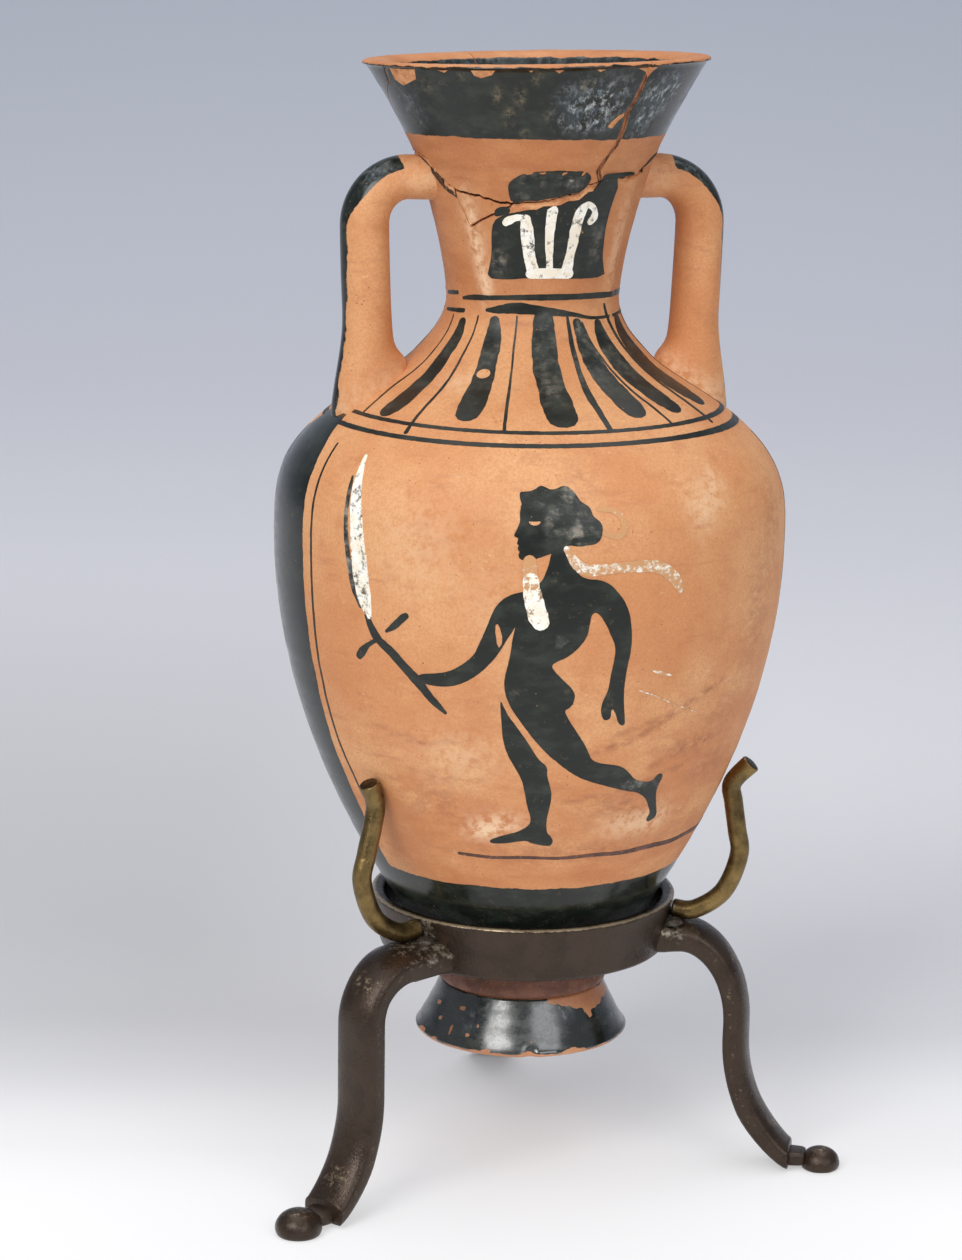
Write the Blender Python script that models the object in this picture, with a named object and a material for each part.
"""Small two-handled amphora of painted clay, broken and joined again at the neck and mouth, carried
by a hand-bent bronze tripod with brass prongs. The amphora lifts straight up out of the tripod."""

import math

import bmesh
import bpy

# Driving dimensions, in millimetres unless a name says degrees.
FOOT_RADIUS = 9.9
FOOT_TOP_RADIUS = 7.6
FOOT_HEIGHT = 4.9
FOOT_RIM_WIDTH = 2.5
FOOT_HOLLOW = 2.9
FILLET_RADIUS = 7.8
FILLET_HEIGHT = 0.7
BODY_BASE_RADIUS = 7.2
BODY_RADIUS = 23.4
BELLY_RISE = 41.4
SHOULDER_HEIGHT = 15.7
NECK_JOINT_RADIUS = 11.1
NECK_RADIUS = 7.87
NECK_WAIST_RISE = 5.3
NECK_TOP_RADIUS = 10.15
NECK_HEIGHT = 15.9
MOUTH_HEIGHT = 10.75
RIM_RADIUS = 15.55
WALL = 2.0
HANDLE_REACH = 15.5
HANDLE_FOOT_REACH = 14.9
HANDLE_BEND = 4.0
HANDLE_DROP = 0.05
HANDLE_THICKNESS = 4.4
HANDLE_ROOT_THICKNESS = 3.95
HANDLE_FLARE = 1.1
HANDLE_WIDTH = 4.8
STAND_CLEARANCE = 12.1
RING_UNDERSIDE = 8.4
RING_HEIGHT = 5.15
RING_WALL = 1.2
RING_TAPER = 0.9
RING_CLEARANCE = 0.6
LEG_WIDTH = 4.6
LEG_THICKNESS = 2.3
LEG_ROOT_WIDTH = 5.4
LEG_ROOT_THICKNESS = 2.6
LEG_TOP_BEND = 6.4
LEG_FOOT_BEND = 14.0
LEG_LEFT_STANDOFF = 8.1
LEG_RIGHT_STANDOFF = 6.2
LEG_BACK_STANDOFF = 6.9
LEG_END_DEGREES = 45.0
LEG_END_HEIGHT = 2.15
LEG_END_CLEARANCE = 0.3
TOE_RADIUS = 2.15
TOE_HEIGHT = 2.35
TOE_NECK_WIDTH = 2.8
TOE_NECK_HEIGHT = 1.4
TOE_NECK_LENGTH = 0.35
PRONG_DIAMETER = 1.75
PRONG_TIP = 1.7
PRONG_LEFT_BULGE = 6.9
PRONG_RIGHT_BULGE = 6.0
PRONG_BACK_BULGE = 6.4
PRONG_LEFT_RISE = 14.5
PRONG_RIGHT_RISE = 14.2
PRONG_BACK_RISE = 14.4
PRONG_TURN_DEGREES = -2.5
SOLDER_SIZE = 1.1
BREAK_RISE = 2.5
GAP = 0.3

# The tripod was bent by hand. For each leg: degrees about the axis, with the handles at 0 and 180 and the
# painted front at 270, how far the leg stands out from the ring, its shares of the two bends, and its toe's
# share of the full size. For each prong: how far its bulge stands out, how high it rises, and its share of
# the turned-out tip.
LEGS = {
    "left": (216.0, LEG_LEFT_STANDOFF, 0.75, 0.95, 1.0),
    "right": (337.0, LEG_RIGHT_STANDOFF, 1.25, 1.1, 0.87),
    "back": (83.0, LEG_BACK_STANDOFF, 1.0, 1.0, 0.94),
}
PRONGS = {
    "left": (PRONG_LEFT_BULGE, PRONG_LEFT_RISE, 0.5),
    "right": (PRONG_RIGHT_BULGE, PRONG_RIGHT_RISE, 1.0),
    "back": (PRONG_BACK_BULGE, PRONG_BACK_RISE, 0.8),
}
# The mouth was set back slightly crooked: rise per millimetre to the right and to the front.
MOUTH_RISE_RIGHT = 0.022
MOUTH_RISE_FRONT = 0.014

# Old break round the neck: degrees about the axis, and how far it lies above the top of the neck, set
# against its rise over the handles. The second break cuts a small loose sherd out of the neck's front.
NECK_BREAK = (
    (0, 1.0), (18, 0.92), (40, 0.44), (70, -0.08), (110, 0.08), (140, 0.36), (163, 0.92), (180, 1.0),
    (194, 0.8), (199, 0.28), (212, -0.24), (228, -0.36), (236, -0.56), (246, -0.6), (262, -0.52),
    (272, -0.32), (280, -0.24), (284, 0.04), (292, 0.16), (314, 0.28), (342, 0.92), (360, 1.0),
)
SHERD_BREAK = ((210, -0.24), (218, -1.48), (245, -0.64))
# Breaks up the mouth: share of the way up to the rim, and degrees about the axis.
BREAK_RIGHT = ((0.0, 290), (0.1, 288), (0.3, 294), (0.6, 294), (1.0, 296))
BREAK_BACK = ((0.0, 101), (0.3, 104), (0.65, 100), (1.0, 103))
BREAK_LEFT = ((0.0, 168), (0.25, 170), (0.5, 174), (0.7, 184), (0.85, 193), (1.0, 196))

AROUND = 40
MM = 0.001

BODY_BOTTOM = FOOT_HEIGHT + FILLET_HEIGHT + 2.0 * GAP
BELLY = BODY_BOTTOM + BELLY_RISE
BODY_TOP = BELLY + SHOULDER_HEIGHT
NECK_BOTTOM = BODY_TOP + GAP
NECK_WAIST = NECK_BOTTOM + NECK_WAIST_RISE
NECK_TOP = NECK_BOTTOM + NECK_HEIGHT
RIM = NECK_TOP + MOUTH_HEIGHT


def mix(low, high, share):
    return low + (high - low) * share


def along(table, value):
    """Height of the straight-sided curve through the table at the given value."""
    if value <= table[0][0]:
        return table[0][1]
    for (x0, y0), (x1, y1) in zip(table, table[1:]):
        if value <= x1:
            return mix(y0, y1, (value - x0) / (x1 - x0))
    return table[-1][1]


def body_radius(height):
    """Outside of the body: a belly that swells like a sine, and a shoulder that falls in to the neck."""
    if height <= BELLY:
        share = max(0.0, (height - BODY_BOTTOM) / BELLY_RISE)
        return mix(BODY_BASE_RADIUS, BODY_RADIUS, math.sin(0.5 * math.pi * share ** 0.9))
    share = min(1.0, (height - BELLY) / SHOULDER_HEIGHT)
    return mix(BODY_RADIUS, NECK_JOINT_RADIUS, share ** 3 * (1.0 + 1.05 * share * (1.0 - share)))


def neck_radius(height):
    """Outside of the neck, drawn in at its waist, and of the flared mouth above it."""
    if height <= NECK_WAIST:
        share = min(1.0, (NECK_WAIST - height) / NECK_WAIST_RISE)
        return mix(NECK_RADIUS, NECK_JOINT_RADIUS, share ** 1.9)
    if height <= NECK_TOP:
        share = (height - NECK_WAIST) / (NECK_TOP - NECK_WAIST)
        return mix(NECK_RADIUS, NECK_TOP_RADIUS, share ** 1.5)
    share = min(1.0, (height - NECK_TOP) / MOUTH_HEIGHT)
    return mix(NECK_TOP_RADIUS, RIM_RADIUS, share ** 1.25)


def shoulder_height(reach):
    """Height of the shoulder's outside at a distance from the axis."""
    low, high = BELLY, BODY_TOP
    for _ in range(40):
        middle = 0.5 * (low + high)
        if body_radius(middle) > reach:
            low = middle
        else:
            high = middle
    return low


RING_TOP = RING_UNDERSIDE + RING_HEIGHT
RING_BORE = max(body_radius(RING_TOP), FOOT_RADIUS) + RING_CLEARANCE
RING_RADIUS = RING_BORE + RING_WALL
LEG_LEVEL = RING_UNDERSIDE + 0.348 * RING_HEIGHT
PRONG_LEVEL = LEG_LEVEL + 0.5 * LEG_ROOT_THICKNESS + GAP + 0.5 * PRONG_DIAMETER

CLAY = ((0.62, 0.27, 0.11), 0.0, 0.55)
SLIP = ((0.045, 0.042, 0.038), 0.0, 0.35)
EARTH_RED = ((0.25, 0.08, 0.045), 0.0, 0.5)
BRONZE = ((0.085, 0.058, 0.038), 0.9, 0.45)
BRASS = ((0.42, 0.29, 0.11), 0.9, 0.4)
SOLDER = ((0.20, 0.17, 0.13), 0.8, 0.5)


def paint(name, colour, metallic, roughness):
    material = bpy.data.materials.new(name)
    material.use_nodes = True
    shader = material.node_tree.nodes["Principled BSDF"]
    shader.inputs["Base Color"].default_value = (*colour, 1.0)
    shader.inputs["Metallic"].default_value = metallic
    shader.inputs["Roughness"].default_value = roughness
    return material


def place(name, data, look, parent, degrees=0.0):
    data.materials.append(paint(name, *look))
    thing = bpy.data.objects.new(name, data)
    bpy.context.scene.collection.objects.link(thing)
    thing.parent = parent
    thing.rotation_euler.z = math.radians(degrees)
    return thing


def finish(name, work, look, parent, degrees=0.0):
    """Closes a bmesh drawn in millimetres into a placed piece with its faces pointing out."""
    bmesh.ops.scale(work, vec=(MM, MM, MM), verts=work.verts[:])
    bmesh.ops.recalc_face_normals(work, faces=work.faces[:])
    if work.calc_volume(signed=True) < 0.0:
        bmesh.ops.reverse_faces(work, faces=work.faces[:])
    mesh = bpy.data.meshes.new(name)
    work.to_mesh(mesh)
    work.free()
    mesh.shade_smooth()
    mesh.set_sharp_from_angle(angle=math.radians(40.0))
    return place(name, mesh, look, parent, degrees)


def revolve(name, rows, look, parent):
    """Spins an outline of (radius, height) about the axis; it starts and ends on the axis, or closes."""
    work = bmesh.new()
    outline = [work.verts.new((radius, 0.0, height)) for radius, height in rows]
    edges = [work.edges.new(pair) for pair in zip(outline, outline[1:])]
    if rows[0][0] > 0.0:
        edges.append(work.edges.new((outline[-1], outline[0])))
    bmesh.ops.spin(
        work, geom=outline + edges, cent=(0, 0, 0), axis=(0, 0, 1), dvec=(0, 0, 0),
        angle=2.0 * math.pi, steps=AROUND, use_merge=True,
    )
    bmesh.ops.remove_doubles(work, verts=work.verts[:], dist=0.0001)
    return finish(name, work, look, parent)


def sweep(name, rings, look, parent, degrees=0.0, tips=(None, None)):
    """Joins rings of equal count into a closed bar; a tip is the middle of an end, or None for flat."""
    work = bmesh.new()
    loops = [[work.verts.new(point) for point in ring] for ring in rings]
    count = len(rings[0])
    for low, high in zip(loops, loops[1:]):
        for j in range(count):
            k = (j + 1) % count
            work.faces.new((low[j], low[k], high[k], high[j]))
    for loop, tip in ((loops[0], tips[0]), (loops[-1], tips[1])):
        if tip is None:
            work.faces.new(loop)
        else:
            middle = work.verts.new(tip)
            for j in range(count):
                work.faces.new((loop[j], loop[(j + 1) % count], middle))
    return finish(name, work, look, parent, degrees)


def shell(name, grid, look, parent, wrap):
    """Makes a curved wall piece from rows of (degrees, height) on the outside of the neck and mouth."""
    work = bmesh.new()
    skins = []
    for inside in (False, True):
        skin = []
        for row in grid:
            line = []
            for degrees, height in row:
                radius = neck_radius(height)
                if inside:
                    radius -= WALL * mix(1.05, 1.15, (height - NECK_BOTTOM) / (RIM - NECK_BOTTOM))
                turn = math.radians(degrees)
                x = radius * math.cos(turn)
                y = radius * math.sin(turn)
                share = min(1.0, max(0.0, (height - NECK_WAIST) / (RIM - NECK_WAIST)))
                crooked = share * share * (MOUTH_RISE_RIGHT * x - MOUTH_RISE_FRONT * y)
                line.append(work.verts.new((x, y, height + crooked)))
            skin.append(line + line[:1] if wrap else line)
        skins.append(skin)
    outer, inner = skins
    for skin in skins:
        for low, high in zip(skin, skin[1:]):
            for j in range(len(low) - 1):
                work.faces.new((low[j], low[j + 1], high[j + 1], high[j]))
    for i in (0, -1):
        for j in range(len(outer[i]) - 1):
            work.faces.new((outer[i][j], outer[i][j + 1], inner[i][j + 1], inner[i][j]))
    if not wrap:
        for j in (0, -1):
            for i in range(len(outer) - 1):
                work.faces.new((outer[i][j], outer[i + 1][j], inner[i + 1][j], inner[i][j]))
    return finish(name, work, look, parent)


def bar_rings(line, sections):
    """Sets its own section of (across, out) square to each point of a line of (reach, height)."""
    rings = []
    for i, ((reach, height), section) in enumerate(zip(line, sections)):
        r0, z0 = line[max(0, i - 1)]
        r1, z1 = line[min(len(line) - 1, i + 1)]
        length = math.hypot(r1 - r0, z1 - z0)
        out_r = -(z1 - z0) / length
        out_z = (r1 - r0) / length
        rings.append([(reach + out_r * out, across, height + out_z * out) for across, out in section])
    return rings


def arc(centre, reach, height, start, end, steps):
    """Points of a bend from one direction to another, in degrees, about a centre of (reach, height)."""
    turns = [math.radians(mix(start, end, i / steps)) for i in range(steps + 1)]
    return [(centre[0] + reach * math.cos(t), centre[1] + height * math.sin(t)) for t in turns]


def smooth_line(line, steps):
    """Rounds the corners of a line of (reach, height) by a cubic curve through its points."""
    out = []
    for i in range(len(line) - 1):
        p0 = line[max(0, i - 1)]
        p1 = line[i]
        p2 = line[i + 1]
        p3 = line[min(len(line) - 1, i + 2)]
        for k in range(steps):
            t = k / steps
            point = []
            for a, b, c, d in zip(p0, p1, p2, p3):
                bend = (2 * a - 5 * b + 4 * c - d) * t * t + (3 * b - a - 3 * c + d) * t * t * t
                point.append(0.5 * (2 * b + (c - a) * t + bend))
            out.append(tuple(point))
    out.append(line[-1])
    return out


def oval(width, thickness, sides):
    turns = [2.0 * math.pi * i / sides for i in range(sides)]
    return [(0.5 * width * math.cos(t), 0.5 * thickness * math.sin(t)) for t in turns]


def make_body(parent):
    heights = [mix(BODY_BOTTOM, BELLY, i / 11) for i in range(11)]
    heights += [mix(BELLY, BODY_TOP, i / 8) for i in range(9)]
    outer = [(body_radius(z), z) for z in heights]
    inner = []
    floor = BODY_BOTTOM + 1.3 * WALL
    for (r0, z0), (r, z), (r1, z1) in zip(outer, outer[1:], outer[2:]):
        length = math.hypot(r1 - r0, z1 - z0)
        point = (r - WALL * (z1 - z0) / length, z + WALL * (r1 - r0) / length)
        if floor + 0.2 * WALL < point[1] < BODY_TOP - 0.3 * WALL:
            inner.append(point)
    top = (NECK_JOINT_RADIUS - 1.1 * WALL, BODY_TOP)
    rows = [(0.0, BODY_BOTTOM)] + outer + [top] + inner[::-1]
    rows += [(0.8 * inner[0][0], floor), (0.0, floor)]
    revolve("body", rows, CLAY, parent)


def make_foot(parent):
    flare = [(mix(FOOT_RADIUS, FOOT_TOP_RADIUS, (i / 5) ** 0.85), FOOT_HEIGHT * i / 5) for i in range(6)]
    inside = FOOT_RADIUS - FOOT_RIM_WIDTH
    hollow = [(inside * s, FOOT_HOLLOW * (1.0 - s * s)) for s in (0.0, 0.35, 0.7, 1.0)]
    revolve("foot", hollow + flare + [(0.0, FOOT_HEIGHT)], SLIP, parent)
    low = FOOT_HEIGHT + GAP
    rows = [(0.0, low)]
    for share in (0.0, 0.3, 0.7, 1.0):
        rows.append((FILLET_RADIUS - 1.2 * FILLET_HEIGHT * (share - 0.5) ** 2, low + FILLET_HEIGHT * share))
    revolve("foot_fillet", rows + [(0.0, low + FILLET_HEIGHT)], EARTH_RED, parent)


def neck_break(degrees):
    return NECK_TOP + BREAK_RISE * along(NECK_BREAK, degrees % 360.0)


def sherd_break(degrees):
    return NECK_TOP + BREAK_RISE * along(SHERD_BREAK, degrees)


def make_neck(parent):
    first = SHERD_BREAK[0][0]
    corner = SHERD_BREAK[1][0]
    last = SHERD_BREAK[-1][0]
    even = [360.0 * i / AROUND for i in range(AROUND)]
    step = 0.3 * 360.0 / AROUND
    columns = [d for d in even if min(abs(d - c) for c in (first, corner, last)) > step]
    columns = sorted(columns + [first, corner, last])
    tops = []
    for degrees in columns:
        top = neck_break(degrees)
        if first < degrees < last:
            top = min(top, sherd_break(degrees))
        tops.append(top - 0.5 * GAP)
    shares = (0.0, 0.06, 0.13, 0.21, 0.32, 0.46, 0.64, 0.82, 1.0)
    grid = [[(d, mix(NECK_BOTTOM, top, s)) for d, top in zip(columns, tops)] for s in shares]
    shell("neck", grid, CLAY, parent, True)
    columns = [mix(first, corner, s) for s in (0.35, 0.7, 1.0)]
    columns += [mix(corner, last, s) for s in (0.25, 0.5, 0.75)]
    grid = []
    for share in (0.0, 0.5, 1.0):
        row = []
        for degrees in columns:
            low = sherd_break(degrees) + 0.5 * GAP
            high = neck_break(degrees) - 0.5 * GAP
            row.append((degrees, mix(low, high, share)))
        grid.append(row)
    shell("neck_sherd", grid, CLAY, parent, False)


def make_mouth_sherd(name, start, end, turn, columns, parent):
    """A piece of the mouth between two upright breaks, from the break round the neck up to the rim."""
    grid = []
    for share in (0.0, 0.2, 0.45, 0.7, 0.9, 1.0):
        margin = math.degrees(0.5 * GAP / neck_radius(mix(NECK_TOP, RIM, share)))
        low = along(start, share) + margin
        high = along(end, share) + turn - margin
        row = []
        for i in range(columns + 1):
            degrees = mix(low, high, i / columns)
            row.append((degrees, mix(neck_break(degrees) + 0.5 * GAP, RIM, share)))
        grid.append(row)
    shell(name, grid, SLIP, parent, False)


def make_handle(name, degrees, parent):
    """A round strap that leaves the neck level and thin, bends over and spreads on the shoulder."""
    root = NECK_TOP - HANDLE_DROP
    centre = (HANDLE_REACH - HANDLE_BEND, root - HANDLE_BEND)
    base = shoulder_height(HANDLE_FOOT_REACH)
    steps = 6
    line = arc(centre, HANDLE_BEND, HANDLE_BEND, 80.0, 0.0, steps)
    for share in (0.3, 0.6, 0.85):
        line.append((mix(HANDLE_REACH, HANDLE_FOOT_REACH, share), mix(centre[1], base, share)))
    sections = []
    for i in range(len(line)):
        thick = mix(HANDLE_ROOT_THICKNESS, HANDLE_THICKNESS, min(1.0, i / steps))
        lift = 0.5 * (HANDLE_THICKNESS - thick)
        sections.append([(across, out + lift) for across, out in oval(HANDLE_WIDTH, thick, 12)])
    top = []
    for across, out in sections[0]:
        reach = neck_radius(root + out) + 1.15 * GAP
        top.append((math.sqrt(reach * reach - across * across), across, root + out))
    foot = []
    for across, out in sections[-1]:
        x = HANDLE_FOOT_REACH + 1.12 * out + HANDLE_FLARE * (0.5 + out / HANDLE_THICKNESS) ** 2
        y = 1.2 * across
        foot.append((x, y, shoulder_height(math.hypot(x, y)) + 2.0 * GAP))
    tips = ((neck_radius(root) + 1.15 * GAP, 0.0, root), (HANDLE_FOOT_REACH, 0.0, base + 2.0 * GAP))
    sweep(name, [top] + bar_rings(line, sections) + [foot], CLAY, parent, degrees, tips)


def ring_edge(height):
    """Radius of the ring's outside, which narrows to its underside."""
    return RING_RADIUS - RING_TAPER * (RING_TOP - height) / RING_HEIGHT


def make_ring(parent):
    ease = 0.3 * RING_WALL
    foot = ring_edge(RING_UNDERSIDE)
    rows = [(foot - RING_WALL + ease, RING_UNDERSIDE), (foot - ease, RING_UNDERSIDE)]
    rows += [(ring_edge(z), z) for z in (RING_UNDERSIDE + ease, RING_TOP - ease)]
    rows += [(RING_RADIUS - ease, RING_TOP), (RING_BORE, RING_TOP)]
    rows += [(ring_edge(RING_UNDERSIDE + ease) - RING_WALL, RING_UNDERSIDE + ease)]
    revolve("stand_ring", rows, BRONZE, parent)


def make_leg(side, parent):
    """A strap, domed outside and stout at the ring, that bends down and out again to an upright end."""
    degrees, standoff, top_share, foot_share, toe_share = LEGS[side]
    stance = RING_RADIUS + standoff
    drop = LEG_TOP_BEND * top_share
    bend = LEG_FOOT_BEND * foot_share
    inward = min(drop, standoff - 2.0 * GAP)
    end = 90.0 - LEG_END_DEGREES
    floor = -STAND_CLEARANCE
    low = floor + 0.6 * TOE_HEIGHT + bend * math.sin(math.radians(end))
    high = LEG_LEVEL - drop
    line = [(ring_edge(LEG_LEVEL + 0.5 * LEG_ROOT_THICKNESS) + GAP, LEG_LEVEL)]
    line += arc((stance - inward, high), inward, drop, 88.0, 0.0, 7)
    line += [(stance, mix(high, low, 0.5))]
    line += arc((stance + bend, low), bend, bend, 180.0, 180.0 + end, 6)
    sections = []
    for i in range(len(line)):
        share = min(1.0, i / 5)
        half = 0.5 * mix(LEG_ROOT_WIDTH, LEG_WIDTH, share)
        thick = 0.5 * mix(LEG_ROOT_THICKNESS, LEG_THICKNESS, share)
        section = [(half, -thick), (half, 0.1 * thick), (0.72 * half, 0.65 * thick), (0.3 * half, thick)]
        sections.append(section + [(-across, out) for across, out in section[::-1]])
    rings = bar_rings(line, sections)
    face = max(x for x, _, _ in rings[-1])
    rings[-1] = []
    for across, out in sections[-1]:
        rise = 0.5 + out / LEG_THICKNESS
        rings[-1].append((face, across, floor + LEG_END_CLEARANCE + LEG_END_HEIGHT * rise))
    sweep("leg_" + side, rings, BRONZE, parent, degrees)
    start = face + GAP
    make_toe_neck(side, start, floor, degrees, parent)
    make_toe(side, start + TOE_NECK_LENGTH + GAP, toe_share, floor, degrees, parent)


def make_toe_neck(side, start, floor, degrees, parent):
    half = 0.5 * TOE_NECK_WIDTH
    rise = 0.5 * TOE_NECK_HEIGHT
    level = floor + 0.42 * TOE_HEIGHT
    section = [(half, -rise), (half, 0.3 * rise), (0.7 * half, rise)]
    section += [(-across, up) for across, up in section[::-1]]
    rings = [[(x, across, level + up) for across, up in section] for x in (start, start + TOE_NECK_LENGTH)]
    sweep("toe_neck_" + side, rings, BRONZE, parent, degrees)


def make_toe(side, start, share, floor, degrees, parent):
    """A domed button with a flat underside."""
    dome = ((0.0, 0.88), (0.1, 0.98), (0.25, 1.0), (0.45, 0.96), (0.65, 0.85), (0.82, 0.65), (0.94, 0.38))
    reach = start + TOE_RADIUS * share
    tall = TOE_HEIGHT * share
    rings = []
    for height, radius in dome:
        across = 2.0 * TOE_RADIUS * share * radius
        rings.append([(reach + x, y, floor + tall * height) for x, y in oval(across, across, 20)])
    sweep("toe_" + side, rings, BRONZE, parent, degrees, (None, (reach, 0.0, floor + tall)))


def make_prong(side, parent):
    """A bent rod that lies on the leg, bulges out, comes in to the belly and turns its tip out again."""
    bulge, rise, tip_share = PRONGS[side]
    start = RING_RADIUS + GAP
    wide = RING_RADIUS + bulge
    touch = PRONG_LEVEL + 0.86 * rise
    slope = (body_radius(touch + 1.0) - body_radius(touch - 1.0)) / 2.0
    seat = body_radius(touch) + (0.5 * PRONG_DIAMETER + 1.15 * GAP) * math.hypot(1.0, slope)
    route = [(start, PRONG_LEVEL), (mix(start, wide, 0.3), PRONG_LEVEL)]
    route += [(mix(start, wide, 0.76), PRONG_LEVEL + 0.13 * rise), (wide, PRONG_LEVEL + 0.38 * rise)]
    route += [(mix(seat, wide, 0.67), PRONG_LEVEL + 0.55 * rise)]
    route += [(mix(seat, wide, 0.2), PRONG_LEVEL + 0.73 * rise)]
    route += [(seat, touch), (seat + PRONG_TIP * tip_share, PRONG_LEVEL + rise)]
    curve = bpy.data.curves.new("prong_" + side, "CURVE")
    curve.dimensions = "3D"
    curve.bevel_depth = 0.5 * PRONG_DIAMETER * MM
    curve.bevel_resolution = 2
    curve.use_fill_caps = True
    points = smooth_line(route, 4)
    spline = curve.splines.new("POLY")
    spline.points.add(len(points) - 1)
    for point, (reach, height) in zip(spline.points, points):
        point.co = (reach * MM, 0.0, height * MM, 1.0)
    spline.use_smooth = True
    place("prong_" + side, curve, BRASS, parent, LEGS[side][0] + PRONG_TURN_DEGREES)


def make_solder(side, parent):
    """Two beads of solder in the corner between the ring and a leg, one on each side of the prong."""
    low = LEG_LEVEL + 0.5 * LEG_ROOT_THICKNESS + GAP
    inner = ring_edge(low + 0.9 * SOLDER_SIZE) + GAP
    near = 0.5 * PRONG_DIAMETER + 1.4 * GAP
    for bead, sign in (("first", -1.0), ("second", 1.0)):
        rings = []
        for across, share in ((0.0, 1.0), (0.45, 0.9), (0.8, 0.55)):
            size = SOLDER_SIZE * share
            y = sign * (near + SOLDER_SIZE * across)
            line = [(inner, low), (inner + size, low), (inner + 0.4 * size, low + 0.35 * size)]
            line += [(inner, low + 0.9 * size)]
            rings.append([(x, y, z) for x, z in line])
        sweep("solder_" + side + "_" + bead, rings, SOLDER, parent, LEGS[side][0] + PRONG_TURN_DEGREES)


def settle(stand, amphora):
    """Sets the stand on the floor, with the middle of the footprint at the origin and the amphora in it."""
    bpy.context.view_layer.update()
    shapes = bpy.context.evaluated_depsgraph_get()
    corners = []
    for thing in stand.children[:] + amphora.children[:]:
        mesh = thing.evaluated_get(shapes).to_mesh()
        corners += [thing.matrix_world @ vertex.co for vertex in mesh.vertices]
    x = 0.5 * (min(c.x for c in corners) + max(c.x for c in corners))
    y = 0.5 * (min(c.y for c in corners) + max(c.y for c in corners))
    stand.location = (-x, -y, STAND_CLEARANCE * MM)
    amphora.location = stand.location


for old in list(bpy.data.objects):
    bpy.data.objects.remove(old, do_unlink=True)

# Both empties lie on the line along which the amphora is lifted out, at the height of its foot.
stand_frame = bpy.data.objects.new("stand_frame", None)
amphora_frame = bpy.data.objects.new("amphora_frame", None)
for frame in (stand_frame, amphora_frame):
    bpy.context.scene.collection.objects.link(frame)

make_body(amphora_frame)
make_foot(amphora_frame)
make_neck(amphora_frame)
make_mouth_sherd("mouth_front", BREAK_LEFT, BREAK_RIGHT, 0.0, 14, amphora_frame)
make_mouth_sherd("mouth_right", BREAK_RIGHT, BREAK_BACK, 360.0, 18, amphora_frame)
make_mouth_sherd("mouth_back", BREAK_BACK, BREAK_LEFT, 0.0, 9, amphora_frame)
make_handle("handle_left", 180.0, amphora_frame)
make_handle("handle_right", 0.0, amphora_frame)
make_ring(stand_frame)
for leg in LEGS:
    make_leg(leg, stand_frame)
    make_prong(leg, stand_frame)
    make_solder(leg, stand_frame)
settle(stand_frame, amphora_frame)
